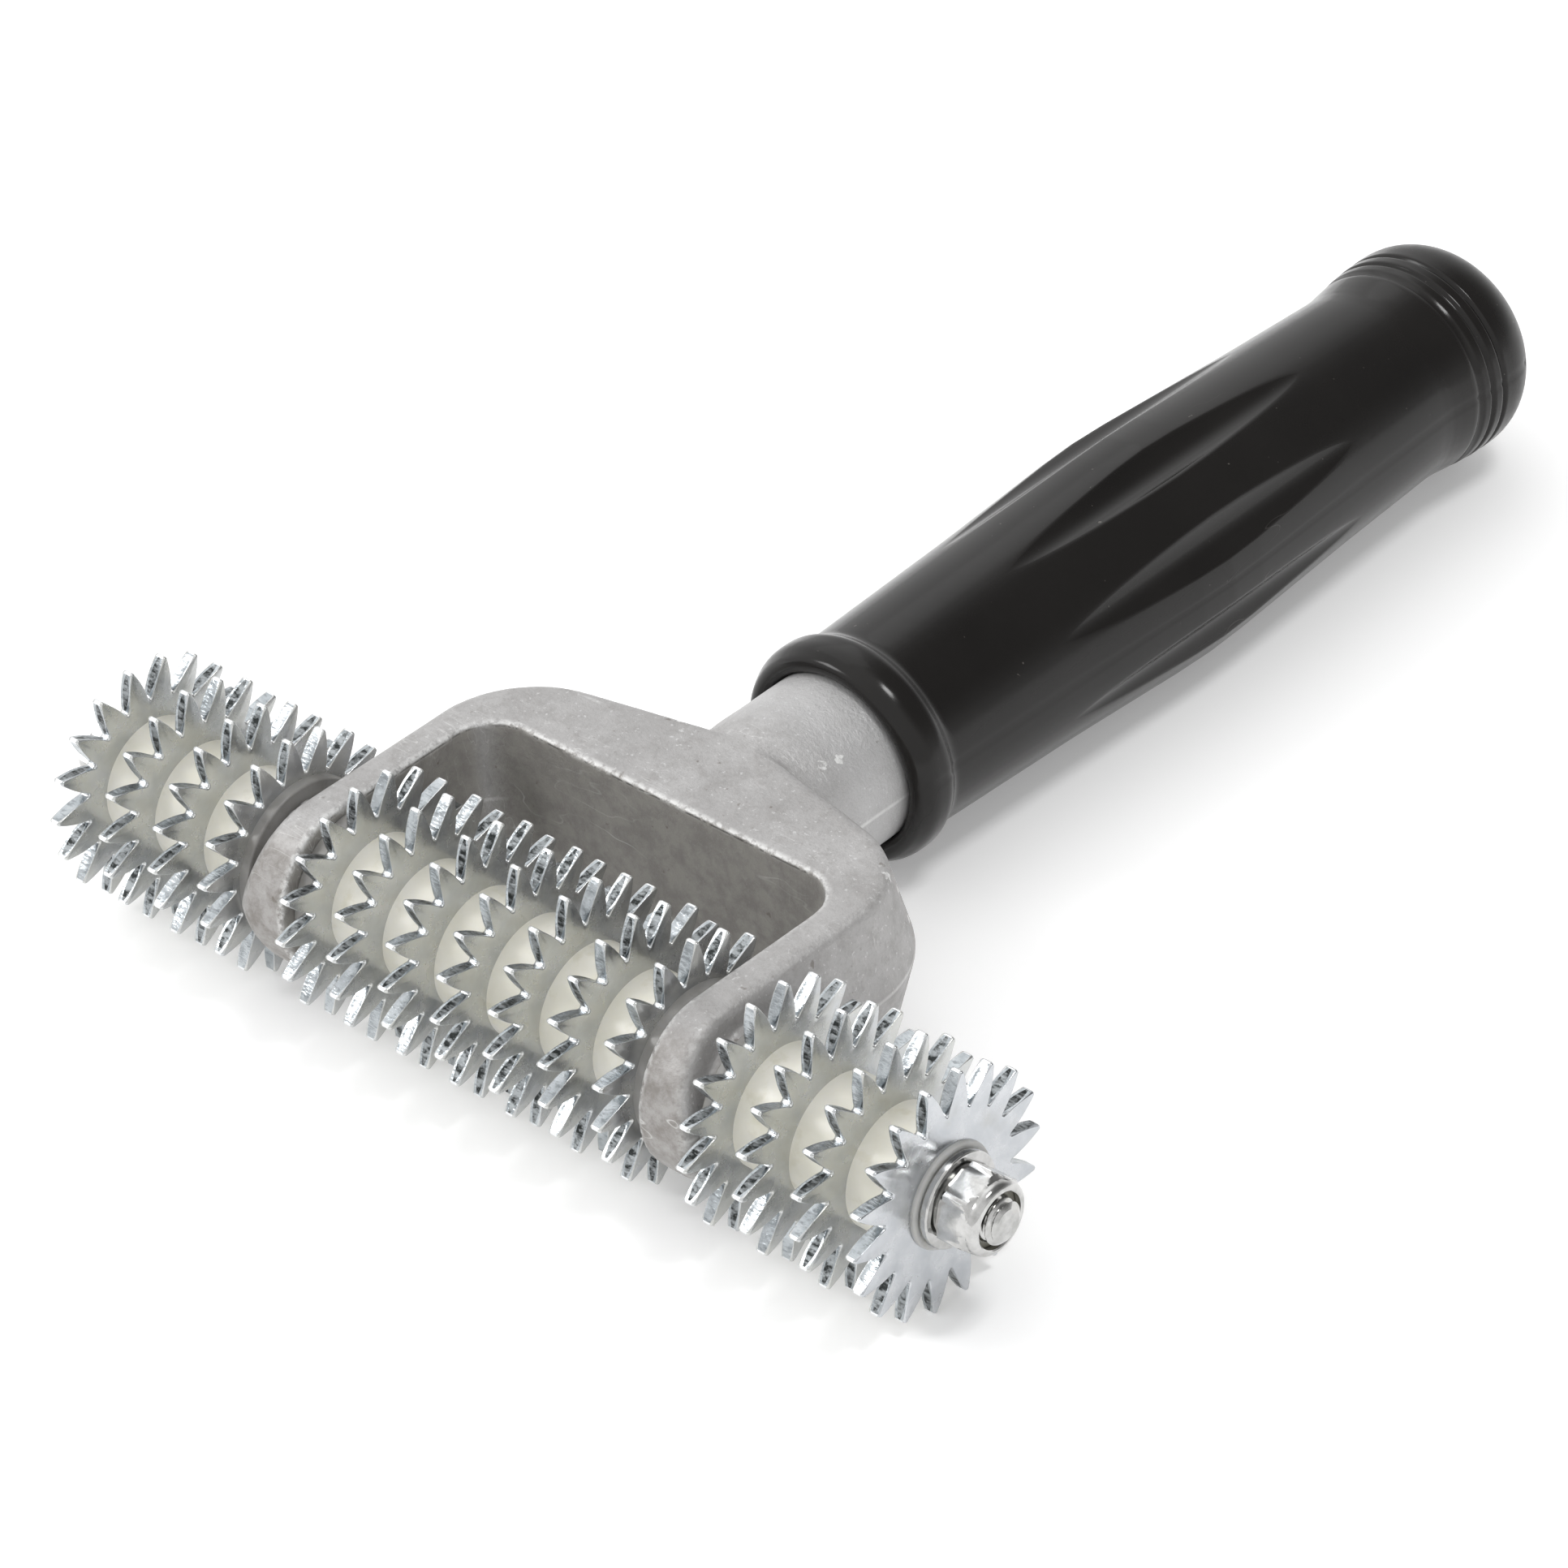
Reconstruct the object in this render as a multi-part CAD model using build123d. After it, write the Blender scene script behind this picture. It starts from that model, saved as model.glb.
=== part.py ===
from build123d import *
import math
import os

# Star-wheel hand roller. Millimetres, +X along the axle towards the lock nut,
# +Y along the handle away from the wheels, +Z up.
# Everything is drawn in the tool frame, whose origin is where the handle's axis
# meets the axle, and is moved to the stored frame when it is written out.

TINY = 0.01
# how far a cutter runs past the face it leaves through
CUT_PAST = 1.0
# longer than any dimension of the fork
FAR = 60.0

# ---- star wheels ----
WHEEL_TEETH = 18
WHEEL_TIP_R = 16.8
WHEEL_ROOT_R = 11.5
WHEEL_THICKNESS = 1.8
WHEEL_BORE_R = 5.0
TOOTH_TIP_WIDTH = 0.7
VALLEY_WIDTH = 0.5
WHEEL_PITCH = 9.0
INNER_WHEELS = 7
OUTER_WHEELS = 4
OUTER_FIRST_X = 41.05
# rest angle of one tooth of each wheel, from +Y towards +Z, left to right:
# every wheel turns on its own, so they do not line up
WHEEL_REST_DEG = [15, 10, 13, 8, 15, 9, 10, 12, 15, 6, 3, 0, 19, 4, 19]

# ---- nylon bushes that carry the wheels ----
BUSH_R = 8.4
AXLE_R = 3.0
AXLE_CLEARANCE = 0.05
BUSH_BORE_R = AXLE_R + AXLE_CLEARANCE
SIDE_GAP = 0.1
BUSH_EDGE = 0.3
# the rings beside the arms are as wide as the solid part of a wheel
ARM_RING_R = 10.8
END_SPACER_R = 7.1
NUT_END_SPACER_LENGTH = 0.55

# ---- fork: one casting with crossbar, two arms, neck and tang ----
ARM_INNER_X = 30.4
ARM_TOP_X = 35.5
ARM_END_R = 13.0
ARM_END_BLEND_R = 9.5
ARM_FRONT_Y = -20.0
FORK_HALF_HEIGHT = 12.06
FORK_DRAFT_DEG = 14.0
SHOULDER_Y = 34.5
SHOULDER_R = 15.0
FORK_REAR_Y = 42.0
WINDOW_REAR_Y = 25.7
WINDOW_CORNER_R = 6.0
BOSS_R = 8.9
BOSS_FACE_X = 38.6
BOSS_ROOT_X = 33.0
AXLE_HOLE_R = AXLE_R + 0.1
NECK_R = 12.4
NECK_START = (11.9, 36.0)
NECK_FULL_Y = 46.0
NECK_END_Y = 62.5
TANG_R = 11.0
TANG_END_Y = 150.0
TANG_CHAMFER = 1.5
OUTER_EDGE_R = 1.6
INNER_EDGE_R = 0.6

# ---- grip: each corner of the outline is (radius, y, rounding) ----
GRIP_MOUTH_R = NECK_R + 0.1
GRIP_SOCKET_R = TANG_R + 0.05
GRIP_BULB_R = 15.64
GRIP_CAP_R = 20.0
GRIP_END_Y = 193.2
GRIP_BORE_END_Y = TANG_END_Y + 1.0
GRIP_CORNERS = [
    (GRIP_MOUTH_R, 57.0, 1.2),
    (14.6, 57.0, 1.4),
    (15.9, 59.3, 4.0),
    (15.9, 62.2, 3.0),
    (14.62, 64.4, 3.0),
    (15.6, 92.7, 300.0),
    (16.955, 119.0, 120.0),
    (15.4, 149.4, 300.0),
    (14.6, 169.8, 20.0),
    (GRIP_BULB_R, 178.5, 36.0),
]
GRIP_END_ROUND = 8.6
FLUTE_COUNT = 8
# the grip is pressed on a little turned, so its flutes are not square to the fork
FLUTE_FIRST_DEG = 29.5
FLUTE_CUTTER_R = 4.8
FLUTE_FLOOR_R = 15.45
FLUTE_CUTTER_START_Y = 68.0
FLUTE_CUTTER_END_Y = 168.0
GROOVES = [(15.22, 175.2), (15.45, 177.8), (15.6, 180.2)]
GROOVE_DEPTH = 0.45

# ---- M6 axle bolt, washers and lock nut ----
HEX_AF = 10.0
HEX_CORNER_RELIEF = 0.15
HEAD_HEIGHT = 4.0
BOLT_LENGTH = 150.0
BOLT_END_CHAMFER = 0.6
WASHER_R = 6.4
WASHER_THICKNESS = 1.2
WASHER_HOLE_R = 3.2
WASHER_EDGE = 0.25
NUT_HEX_HEIGHT = 4.7
NUT_HEIGHT = 6.1
NUT_COLLAR_R = 5.0
NUT_COLLAR_EDGE = 0.7
NUT_RECESS_R = 3.9
NUT_RECESS_DEPTH = 2.2
NUT_LIP = 1.1
INSERT_EDGE = 0.1
NUT_HEX_DEG = 17.0
HEAD_HEX_DEG = 40.0
BOLT_END_X = 78.0

# ---- places worked out from the sizes above ----
HALF_T = WHEEL_THICKNESS / 2
INNER_XS = [WHEEL_PITCH * (i - INNER_WHEELS // 2) for i in range(INNER_WHEELS)]
OUTER_XS = [OUTER_FIRST_X + WHEEL_PITCH * i for i in range(OUTER_WHEELS)]
WHEEL_XS = [-x for x in reversed(OUTER_XS)] + INNER_XS + OUTER_XS
LAST_FACE_X = OUTER_XS[-1] + HALF_T
WASHER_X = LAST_FACE_X + SIDE_GAP + NUT_END_SPACER_LENGTH
NUT_X = WASHER_X + WASHER_THICKNESS
UNDER_HEAD_X = BOLT_END_X - BOLT_LENGTH
BOLT_HEAD_X = UNDER_HEAD_X - HEAD_HEIGHT
HEAD_SPACER_X = UNDER_HEAD_X + WASHER_THICKNESS

# stored frame: middle of the bounding box, on the surface the tool lies on
ORIGIN = Vector((BOLT_HEAD_X + BOLT_END_X) / 2, (GRIP_END_Y - WHEEL_TIP_R) / 2, -WHEEL_TIP_R)
TO_STORED = Location(-ORIGIN)


def along_x(x, length, radius):
    """A cylinder on the axle's line from x to x + length."""
    return Solid.make_cylinder(radius, length, Plane(origin=(x, 0, 0), z_dir=(1, 0, 0)))


def turned(points, axis):
    """A solid of revolution from a closed outline in the XY plane."""
    return revolve(make_face(Polyline(*points, close=True)), axis)


def star_wheel(x, rest_deg):
    tip = TOOTH_TIP_WIDTH / 2 / WHEEL_TIP_R
    root = VALLEY_WIDTH / 2 / WHEEL_ROOT_R
    step = 2 * math.pi / WHEEL_TEETH
    points = []
    for i in range(WHEEL_TEETH):
        centre = math.radians(rest_deg) + i * step
        corners = [
            (WHEEL_TIP_R, centre - tip),
            (WHEEL_TIP_R, centre + tip),
            (WHEEL_ROOT_R, centre + step / 2 - root),
            (WHEEL_ROOT_R, centre + step / 2 + root),
        ]
        points += [(r * math.cos(a), r * math.sin(a)) for r, a in corners]
    plane = Plane(origin=(x - HALF_T, 0, 0), x_dir=(0, 1, 0), z_dir=(1, 0, 0))
    outline = make_face(plane * Polyline(*points, close=True))
    disc = extrude(outline, WHEEL_THICKNESS, dir=(1, 0, 0))
    bore = along_x(x - HALF_T - CUT_PAST, WHEEL_THICKNESS + 2 * CUT_PAST, WHEEL_BORE_R)
    return disc - bore


def bush(wheel_x, length, radius):
    """Nylon bush: a spigot through the wheel's bore, then the body beside it."""
    near = wheel_x - HALF_T
    shoulder = wheel_x + HALF_T
    end = shoulder + length
    edge = min(BUSH_EDGE, length / 3)
    outline = [
        (near, BUSH_BORE_R),
        (near, WHEEL_BORE_R),
        (shoulder, WHEEL_BORE_R),
        (shoulder, radius - edge),
        (shoulder + edge, radius),
        (end - edge, radius),
        (end, radius - edge),
        (end, BUSH_BORE_R),
    ]
    return turned(outline, Axis.X)


def plain_ring(x, length, radius, hole_r, edge):
    outline = [
        (x, hole_r),
        (x, radius - edge),
        (x + edge, radius),
        (x + length - edge, radius),
        (x + length, radius - edge),
        (x + length, hole_r),
    ]
    return turned(outline, Axis.X)


def washer(x):
    return plain_ring(x, WASHER_THICKNESS, WASHER_R, WASHER_HOLE_R, WASHER_EDGE)


def hexagon_bar(x, length, turn_deg):
    """Hexagon along the axle, one corner turned from +Y, with its corners turned off."""
    plane = Plane(origin=(x, 0, 0), x_dir=(0, 1, 0), z_dir=(1, 0, 0))
    corner_r = HEX_AF / 2 / math.cos(math.pi / 6)
    sketch = plane * RegularPolygon(corner_r, 6, rotation=turn_deg)
    bar = extrude(sketch, length, dir=(1, 0, 0))
    face_r = HEX_AF / 2 - HEX_CORNER_RELIEF
    run = (corner_r - face_r) * math.tan(math.radians(30))
    outline = [
        (x, 0),
        (x, face_r),
        (x + run, corner_r),
        (x + length - run, corner_r),
        (x + length, face_r),
        (x + length, 0),
    ]
    return bar & turned(outline, Axis.X)


def axle_bolt():
    shank = turned(
        [
            (UNDER_HEAD_X, 0),
            (UNDER_HEAD_X, AXLE_R),
            (BOLT_END_X - BOLT_END_CHAMFER, AXLE_R),
            (BOLT_END_X, AXLE_R - BOLT_END_CHAMFER),
            (BOLT_END_X, 0),
        ],
        Axis.X,
    )
    return hexagon_bar(BOLT_HEAD_X, HEAD_HEIGHT, HEAD_HEX_DEG) + shank


def lock_nut():
    """Hexagon with a round collar, open at the end for the nylon insert."""
    hexagon = hexagon_bar(NUT_X, NUT_HEX_HEIGHT, NUT_HEX_DEG)
    end = NUT_X + NUT_HEIGHT
    root = NUT_X + NUT_HEX_HEIGHT / 2
    edge = NUT_COLLAR_EDGE
    collar = turned(
        [
            (root, 0),
            (root, NUT_COLLAR_R),
            (end - edge, NUT_COLLAR_R),
            (end - edge / 3, NUT_COLLAR_R - edge / 3),
            (end, NUT_COLLAR_R - edge),
            (end, 0),
        ],
        Axis.X,
    )
    recess = along_x(end - NUT_RECESS_DEPTH, NUT_RECESS_DEPTH + CUT_PAST, NUT_RECESS_R)
    thread = along_x(NUT_X - CUT_PAST, NUT_HEIGHT + 2 * CUT_PAST, AXLE_R)
    return hexagon + collar - recess - thread


def lock_nut_insert():
    start = NUT_X + NUT_HEIGHT - NUT_RECESS_DEPTH
    return plain_ring(start, NUT_RECESS_DEPTH - NUT_LIP, NUT_RECESS_R, AXLE_R, INSERT_EDGE)


def fork_blank():
    """Crossbar and arms: the plan outline with draft both ways from the parting plane."""
    outline = Polyline(
        (-ARM_TOP_X, ARM_FRONT_Y),
        (ARM_TOP_X, ARM_FRONT_Y),
        (ARM_TOP_X, SHOULDER_Y),
        (0, FORK_REAR_Y),
        (-ARM_TOP_X, SHOULDER_Y),
        close=True,
    )
    plan = make_face(outline)
    shoulders = [v for v in plan.vertices() if abs(v.Y - SHOULDER_Y) < TINY]
    plan = fillet(shoulders, SHOULDER_R)
    top = plan.moved(Location((0, 0, FORK_HALF_HEIGHT)))
    upper = extrude(top, FORK_HALF_HEIGHT, dir=(0, 0, -1), taper=-FORK_DRAFT_DEG)
    blank = upper + mirror(upper, Plane.XY)
    side = Plane(origin=(-FAR, 0, 0), x_dir=(0, 1, 0), z_dir=(1, 0, 0))
    return blank & extrude(side * arm_profile(), 2 * FAR, dir=(1, 0, 0))


def arm_profile():
    """Side view: a straight bar whose front rounds off about the axle."""
    bar = Pos(FAR / 2, 0) * Rectangle(FAR, 2 * FORK_HALF_HEIGHT)
    band = Rectangle(FAR, 2 * FORK_HALF_HEIGHT)
    profile = bar + (Circle(ARM_END_R) & band)
    joins = [v for v in profile.vertices() if -ARM_END_R < v.X < 0]
    return fillet(joins, ARM_END_BLEND_R)


def window():
    """The cut between the arms, open at the front, straight through in height."""
    plan = Rectangle(2 * ARM_INNER_X, FAR)
    plan = plan.moved(Location((0, WINDOW_REAR_Y - FAR / 2, -FAR / 2)))
    corners = [v for v in plan.vertices() if v.Y > 0]
    return extrude(fillet(corners, WINDOW_CORNER_R), FAR, dir=(0, 0, 1))


def is_rim(edge):
    """True for the edges around the flat faces and around the rounded arm ends."""
    box = edge.bounding_box()
    flat = box.size.Z < TINY and abs(box.max.Z) > FORK_HALF_HEIGHT - TINY
    arm_end = box.max.Y < 0 and box.size.Z > TINY
    return flat or arm_end


def is_inner(edge):
    box = edge.bounding_box()
    reach = max(abs(box.min.X), abs(box.max.X))
    return reach < ARM_INNER_X + TINY and box.max.Y < WINDOW_REAR_Y + TINY


def fork():
    body = fork_blank() - window()
    outer = [e for e in body.edges() if is_rim(e) and not is_inner(e)]
    body = fillet(outer, OUTER_EDGE_R)
    inner = [e for e in body.edges() if is_rim(e) and is_inner(e)]
    body = fillet(inner, INNER_EDGE_R)
    neck = turned(
        [
            (0, NECK_START[1]),
            NECK_START,
            (NECK_R, NECK_FULL_Y),
            (NECK_R, NECK_END_Y),
            (TANG_R, NECK_END_Y),
            (TANG_R, TANG_END_Y - TANG_CHAMFER),
            (TANG_R - TANG_CHAMFER, TANG_END_Y),
            (0, TANG_END_Y),
        ],
        Axis.Y,
    )
    boss_length = BOSS_FACE_X - BOSS_ROOT_X
    right_boss = along_x(BOSS_ROOT_X, boss_length, BOSS_R)
    left_boss = along_x(-BOSS_FACE_X, boss_length, BOSS_R)
    return body + neck + right_boss + left_boss - along_x(-FAR, 2 * FAR, AXLE_HOLE_R)


def grip_blank():
    """Grip without flutes: half section turned about the handle's axis."""
    cap_centre_y = GRIP_END_Y - GRIP_CAP_R
    cap_angle = math.acos(GRIP_BULB_R / GRIP_CAP_R)
    cap_edge_y = cap_centre_y + GRIP_CAP_R * math.sin(cap_angle)
    cap_start = math.degrees(cap_angle)
    cap = CenterArc((0, cap_centre_y), GRIP_CAP_R, cap_start, 90 - cap_start)
    rest = Polyline(
        (0, GRIP_END_Y),
        (0, GRIP_BORE_END_Y),
        (GRIP_SOCKET_R, GRIP_BORE_END_Y),
        (GRIP_SOCKET_R, NECK_END_Y),
        (GRIP_MOUTH_R, NECK_END_Y),
        *[(radius, y) for radius, y, _ in GRIP_CORNERS],
        (GRIP_BULB_R, cap_edge_y),
    )
    section = make_face([cap, rest])
    for radius, y, rounding in GRIP_CORNERS + [(GRIP_BULB_R, cap_edge_y, GRIP_END_ROUND)]:
        corner = section.vertices().sort_by_distance((radius, y, 0))[0]
        section = fillet(corner, rounding)
    return revolve(section, Axis.Y)


def flute_cutter(angle_deg):
    """A long cylinder that scoops one lens-shaped flute out of the swell."""
    origin = (FLUTE_FLOOR_R + FLUTE_CUTTER_R, FLUTE_CUTTER_START_Y, 0)
    plane = Plane(origin=origin, z_dir=(0, 1, 0))
    length = FLUTE_CUTTER_END_Y - FLUTE_CUTTER_START_Y
    cutter = Solid.make_cylinder(FLUTE_CUTTER_R, length, plane)
    return cutter.rotate(Axis.Y, -angle_deg)


def groove_cutter(radius, y):
    """A narrow V turned around the grip."""
    outline = [
        (radius - GROOVE_DEPTH, y),
        (radius + GROOVE_DEPTH, y - GROOVE_DEPTH),
        (radius + GROOVE_DEPTH, y + GROOVE_DEPTH),
    ]
    return turned(outline, Axis.Y)


def grip():
    body = grip_blank()
    for i in range(FLUTE_COUNT):
        body = body - flute_cutter(FLUTE_FIRST_DEG + i * 360 / FLUTE_COUNT)
    for radius, y in GROOVES:
        body = body - groove_cutter(radius, y)
    return body


def write(name, shape):
    solid = shape.moved(TO_STORED)
    solid.label = name
    export_step(solid, os.path.join("parts", name + ".step"))


def bush_length(index):
    """Room from a wheel's right face to whatever stands beside it."""
    face = WHEEL_XS[index] + HALF_T
    if index == OUTER_WHEELS - 1:
        return -BOSS_FACE_X - SIDE_GAP - face
    if index == OUTER_WHEELS + INNER_WHEELS - 1:
        return ARM_INNER_X - SIDE_GAP - face
    if index == len(WHEEL_XS) - 1:
        return NUT_END_SPACER_LENGTH
    return WHEEL_XS[index + 1] - HALF_T - SIDE_GAP - face


def bush_radius(index):
    if index == len(WHEEL_XS) - 1:
        return END_SPACER_R
    if index in (OUTER_WHEELS - 1, OUTER_WHEELS + INNER_WHEELS - 1):
        return ARM_RING_R
    return BUSH_R


def spacer(x, length, radius):
    return plain_ring(x, length, radius, BUSH_BORE_R, BUSH_EDGE)


def main():
    os.makedirs("parts", exist_ok=True)
    for i, x in enumerate(WHEEL_XS):
        write(f"star_wheel_{i + 1:02d}", star_wheel(x, WHEEL_REST_DEG[i]))
        write(f"wheel_bush_{i + 1:02d}", bush(x, bush_length(i), bush_radius(i)))
    inner_gap = ARM_INNER_X - (-INNER_XS[0] + HALF_T) - SIDE_GAP
    write("arm_spacer_inner", spacer(-ARM_INNER_X, inner_gap, ARM_RING_R))
    outer_gap = OUTER_XS[0] - HALF_T - SIDE_GAP - BOSS_FACE_X
    write("arm_spacer_outer", spacer(BOSS_FACE_X, outer_gap, ARM_RING_R))
    end_gap = -LAST_FACE_X - SIDE_GAP - HEAD_SPACER_X
    write("end_spacer", spacer(HEAD_SPACER_X, end_gap, END_SPACER_R))
    write("head_washer", washer(UNDER_HEAD_X))
    write("nut_washer", washer(WASHER_X))
    write("axle_bolt", axle_bolt())
    write("lock_nut", lock_nut())
    write("lock_nut_insert", lock_nut_insert())
    write("fork", fork())
    write("grip", grip())


main()
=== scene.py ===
import math
import random

import bmesh
import bpy
from mathutils import Matrix, Vector, noise

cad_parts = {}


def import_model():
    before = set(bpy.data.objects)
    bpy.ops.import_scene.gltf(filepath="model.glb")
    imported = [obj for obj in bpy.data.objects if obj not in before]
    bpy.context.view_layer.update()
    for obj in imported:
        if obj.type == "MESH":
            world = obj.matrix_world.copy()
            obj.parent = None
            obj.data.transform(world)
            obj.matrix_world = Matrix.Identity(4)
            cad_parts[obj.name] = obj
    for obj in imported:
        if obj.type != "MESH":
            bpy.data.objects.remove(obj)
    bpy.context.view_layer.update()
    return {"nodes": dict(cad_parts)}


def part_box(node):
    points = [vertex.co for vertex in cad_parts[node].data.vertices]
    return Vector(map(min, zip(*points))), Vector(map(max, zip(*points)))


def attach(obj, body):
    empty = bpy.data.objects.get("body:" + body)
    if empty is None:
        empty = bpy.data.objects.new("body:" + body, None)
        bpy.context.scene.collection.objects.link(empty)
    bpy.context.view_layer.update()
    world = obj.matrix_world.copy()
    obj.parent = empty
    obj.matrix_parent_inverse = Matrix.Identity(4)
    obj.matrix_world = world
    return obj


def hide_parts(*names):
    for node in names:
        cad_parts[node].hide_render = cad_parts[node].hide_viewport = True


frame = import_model()

MM = 0.001


# ---- places read from the frame ----

def span(node, axis):
    low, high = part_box(node)
    return low[axis], high[axis]


def middle(node):
    low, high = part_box(node)
    return (low + high) / 2


AXLE = Vector((middle("fork").x, middle("lock_nut").y, middle("lock_nut").z))
NUT_START, NUT_END = span("lock_nut", 0)
BOLT_START, BOLT_END = span("axle_bolt", 0)
HEAD_END = span("head_washer", 0)[0]
GRIP_MOUTH = span("grip", 1)[0]
WHEELS = sorted(n for n in frame["nodes"] if n.startswith("star_wheel_"))
BUSHES = sorted(n for n in frame["nodes"] if n.startswith("wheel_bush_"))
SPACERS = ["arm_spacer_inner", "arm_spacer_outer", "end_spacer"]
WASHERS = ["head_washer", "nut_washer"]
LAST_WHEEL_X = max(span(node, 0)[1] for node in WHEELS)

# stretches over which a change sets in, each from none to full: painted shade on the window's rear
# wall and the left arm's inner face, painted light on the neck, a darker tone on the arms' noses
# and the grip's rougher dome
WINDOW_BAND = (AXLE.y + 18 * MM, AXLE.y + 22 * MM)
LEFT_ARM_BAND = (AXLE.x - 20 * MM, AXLE.x - 25 * MM)
NECK_BAND = (AXLE.y + 42 * MM, AXLE.y + 50 * MM)
NOSE_BAND = (AXLE.y + 2 * MM, AXLE.y - 6 * MM)
DOME_BAND = (span("grip", 1)[1] - 12.5 * MM, span("grip", 1)[1] - 10 * MM)
FORK_TOP = span("fork", 2)[1]
# depth of the dark line drawn below the window's rim
RIM_LINE_DEPTH = 0.9 * MM

TEETH = 18
TOOTH_STEP = 2 * math.pi / TEETH
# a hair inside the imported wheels, so that rounded tips never reach past them
TIP_R = 16.79 * MM
ROOT_R = 11.5 * MM
BORE_R = 5.0 * MM
# the flat face ends here, and the teeth's faces begin
FACE_R = ROOT_R - 0.9 * MM
TIP_ROUND = 0.35 * MM
ROOT_ROUND = 0.3 * MM
FLANK_HALF_ANGLE = math.radians(17.6)
FLANK_BULGE = 0.1 * MM
HALF_THICK = 0.9 * MM
CORE_SINK = 0.07 * MM
# below one, this makes the leaf shape blunter towards its two ends
LEAF_POWER = 0.6
# the rolled border of a tooth's edge: (share of the way to the face, share of the inset)
EDGE_ROLL = [(0, 0), (0.6, 0.12), (0.92, 0.35), (1, 0.7)]
# share of tooth sides whose torn middle is painted dark as shade
TORN_SHADED_SHARE = 0.6
# shares of a tooth's height below and above which its edge is polished
POLISHED_BELOW = 0.05
POLISHED_ABOVE = 0.96
AXLE_R = 3.0 * MM
BUSH_BORE_R = 3.05 * MM
WASHER_HOLE_R = 3.2 * MM
ARM_RING_LEAST_R = 10.0 * MM
THREAD_PITCH = 1.0 * MM
THREAD_DEPTH = 0.55 * MM
THREAD_LENGTH = 14.0 * MM
# length over which the bolt's end is rounded off
LEAD_IN = 0.75 * MM
HEAD_CHAMFER = 0.5 * MM
NUT_HEX_HEIGHT = 4.7 * MM
# round foot under the hexagon, slope over its corners, and the rolled rim with its lip
NUT_FOOT = 0.4 * MM
NUT_CHAMFER = 0.45 * MM
RIM_ROLL_R = 1.0 * MM
NUT_LIP = 0.12 * MM
NUT_RECESS_R = 3.9 * MM
HEX_FLAT_R = 5.0 * MM
HEX_CORNER_R = HEX_FLAT_R / math.cos(math.pi / 6)
# a multiple of six, so that points lie on the hexagon's corners
HEX_STEPS = 240
# points of a node this close to its widest radius show where its corners are
CORNER_BAND = 0.1 * MM


# ---- mesh helpers ----

def ring_mesh(name, rings, wrap, material, sharp_deg=35):
    """A mesh from rings of equal length, each joined to the next, and last to first if wrapped."""
    count = len(rings[0])
    verts = [p for ring in rings for p in ring]
    faces = []
    pairs = [(i, i + 1) for i in range(len(rings) - 1)]
    if wrap:
        pairs.append((len(rings) - 1, 0))
    for a, b in pairs:
        for k in range(count):
            m = (k + 1) % count
            faces.append((a * count + k, a * count + m, b * count + m, b * count + k))
    if not wrap:
        faces.append(tuple(reversed(range(count))))
        last = (len(rings) - 1) * count
        faces.append(tuple(range(last, last + count)))
    mesh = bpy.data.meshes.new(name)
    mesh.from_pydata(verts, [], faces)
    mesh.update()
    fix_normals(mesh)
    shade(mesh, sharp_deg)
    mesh.materials.append(material)
    return add_to_scene(name, mesh)


def add_to_scene(name, data):
    obj = bpy.data.objects.new(name, data)
    bpy.context.scene.collection.objects.link(obj)
    return obj


def fix_normals(mesh):
    bm = bmesh.new()
    bm.from_mesh(mesh)
    bmesh.ops.recalc_face_normals(bm, faces=bm.faces)
    bm.to_mesh(mesh)
    bm.free()


def shade(mesh, sharp_deg):
    """Smooth shading, except over edges that turn by more than the given angle."""
    mesh.shade_smooth()
    mesh.set_sharp_from_angle(angle=math.radians(sharp_deg))


def around_x(x, radius, steps, start=0):
    """One ring about the axle; radius is a length or a function of the angle."""
    ring = []
    for k in range(steps):
        a = start + 2 * math.pi * k / steps
        r = radius(a) if callable(radius) else radius
        ring.append((x, AXLE.y + r * math.cos(a), AXLE.z + r * math.sin(a)))
    return ring


def rounded(points, radius, arc_steps=5):
    """A closed outline with every corner replaced by a short quadratic round."""
    out = []
    count = len(points)
    for i in range(count):
        here = Vector(points[i])
        back = Vector(points[i - 1]) - here
        ahead = Vector(points[(i + 1) % count]) - here
        # two rounds that share a side must not meet, so each takes less than half of it
        cut = min(radius, back.length * 0.45, ahead.length * 0.45)
        a = here + back.normalized() * cut
        b = here + ahead.normalized() * cut
        for k in range(arc_steps + 1):
            t = k / arc_steps
            out.append(a.lerp(here, t).lerp(here.lerp(b, t), t))
    return out


def lathe_ring(name, node, hole_r, edge, material, steps=128):
    """A turned ring that fills the node's box, with rounded edges."""
    x0, x1 = span(node, 0)
    radius = (span(node, 2)[1] - span(node, 2)[0]) / 2
    corners = [(x0, hole_r), (x0, radius), (x1, radius), (x1, hole_r)]
    outline = rounded(corners, edge)
    return ring_mesh(name, [around_x(p.x, p.y, steps) for p in outline], True, material)


def is_arm_ring(node):
    """The rings beside the arms are as wide as the solid part of a wheel."""
    low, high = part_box(node)
    return high.z - low.z > 2 * ARM_RING_LEAST_R


def stand_for(piece, node, body):
    """Puts a finished piece in the place of a CAD node."""
    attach(piece, body)
    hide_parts(node)
    return piece


# ---- materials ----

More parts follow.
